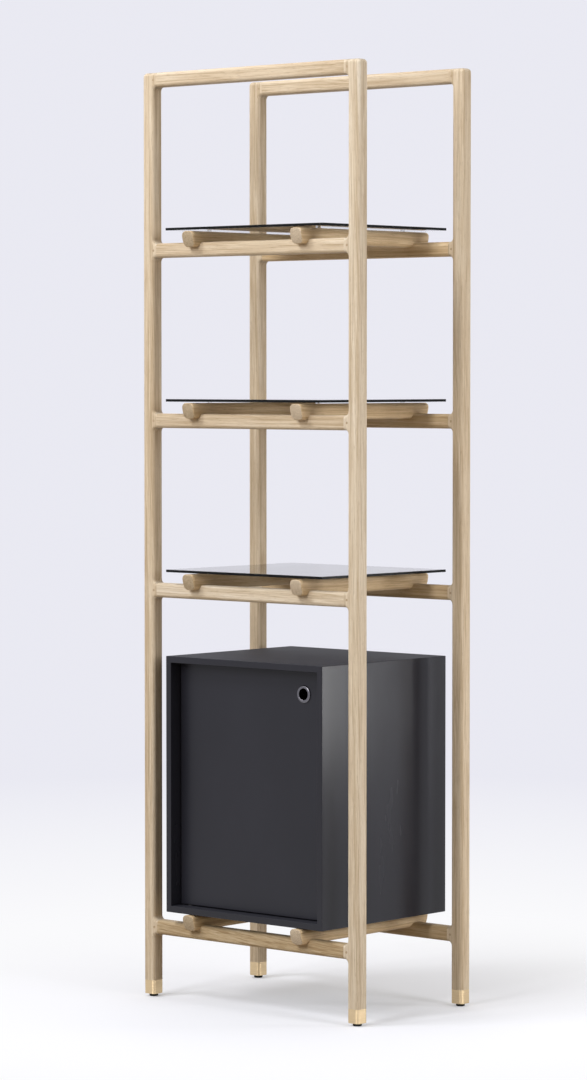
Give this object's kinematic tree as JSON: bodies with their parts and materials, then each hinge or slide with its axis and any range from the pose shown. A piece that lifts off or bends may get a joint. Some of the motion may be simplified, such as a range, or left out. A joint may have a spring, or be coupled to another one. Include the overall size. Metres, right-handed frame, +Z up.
{
  "type": "open bookcase with cabinet",
  "caption": "Tall open bookcase of oak ladder frames with smoked glass shelves on notched bearers and a black cabinet whose recessed door turns on pivots.",
  "frame": {"origin": "on the floor under the middle of the footprint", "axes": "+X along the ladder frames to the right of someone facing the door, +Y from the door to the back, +Z up"},
  "size_m": [0.554, 0.3758, 1.8],
  "materials": {
    "oak": "satin clear oil over pale oak",
    "peg_wood": "satin brown hardwood",
    "dowel_wood": "raw beech",
    "smoked_glass": "polished, smoked",
    "clear_bumper": "clear silicone",
    "black_plastic": "matt black",
    "zinc_steel": "zinc plated",
    "black_lacquer": "satin black lacquer over panel board",
    "nickel": "satin black nickel",
    "brass": "satin antique brass",
    "bush_brass": "turned brass",
    "nylon": "black nylon",
    "catch_plastic": "dark brown plastic",
    "magnet": "ferrite"
  },
  "bodies": {
    "frame": {"bearer_base_left": "oak", "bearer_base_right": "oak", "bearer_dowels": "dowel_wood", "bearer_lower_left": "oak", "bearer_lower_right": "oak", "bearer_middle_left": "oak", "bearer_middle_right": "oak", "bearer_upper_left": "oak", "bearer_upper_right": "oak", "cabinet_back": "black_lacquer", "cabinet_bottom": "black_lacquer", "cabinet_screws": "zinc_steel", "cabinet_side_left": "black_lacquer", "cabinet_side_right": "black_lacquer", "cabinet_spacers": "black_plastic", "cabinet_top": "black_lacquer", "catch_case": "catch_plastic", "catch_magnet": "magnet", "catch_screws": "zinc_steel", "ferrule_front_left": "brass", "ferrule_front_right": "brass", "ferrule_rear_left": "brass", "ferrule_rear_right": "brass", "glass_shelf_lower": "smoked_glass", "glass_shelf_middle": "smoked_glass", "glass_shelf_upper": "smoked_glass", "glide_front_left": "black_plastic", "glide_front_right": "black_plastic", "glide_rear_left": "black_plastic", "glide_rear_right": "black_plastic", "pegs_front": "peg_wood", "pegs_rear": "peg_wood", "pivot_pin_lower": "zinc_steel", "pivot_pin_upper": "zinc_steel", "pivot_washer": "nylon", "post_front_left": "oak", "post_front_right": "oak", "post_rear_left": "oak", "post_rear_right": "oak", "rail_base_front": "oak", "rail_base_rear": "oak", "rail_lower_front": "oak", "rail_lower_rear": "oak", "rail_middle_front": "oak", "rail_middle_rear": "oak", "rail_upper_front": "oak", "rail_upper_rear": "oak", "shelf_bumpers_lower": "clear_bumper", "shelf_bumpers_middle": "clear_bumper", "shelf_bumpers_upper": "clear_bumper", "top_rail_front": "oak", "top_rail_rear": "oak"},
    "door": {"door": "black_lacquer", "pivot_bush_lower": "bush_brass", "pivot_bush_upper": "bush_brass", "finger_pull": "nickel", "finger_pull_ring": "nickel", "strike_plate": "zinc_steel", "strike_screw": "zinc_steel"}
  },
  "joints": [
    {"name": "door_hinge", "type": "hinge", "parent": "frame", "child": "door", "pos_m": [-0.1655, -0.147, 0.423], "axis": [0, 0, -1], "range_deg": [0, 110]}
  ]
}
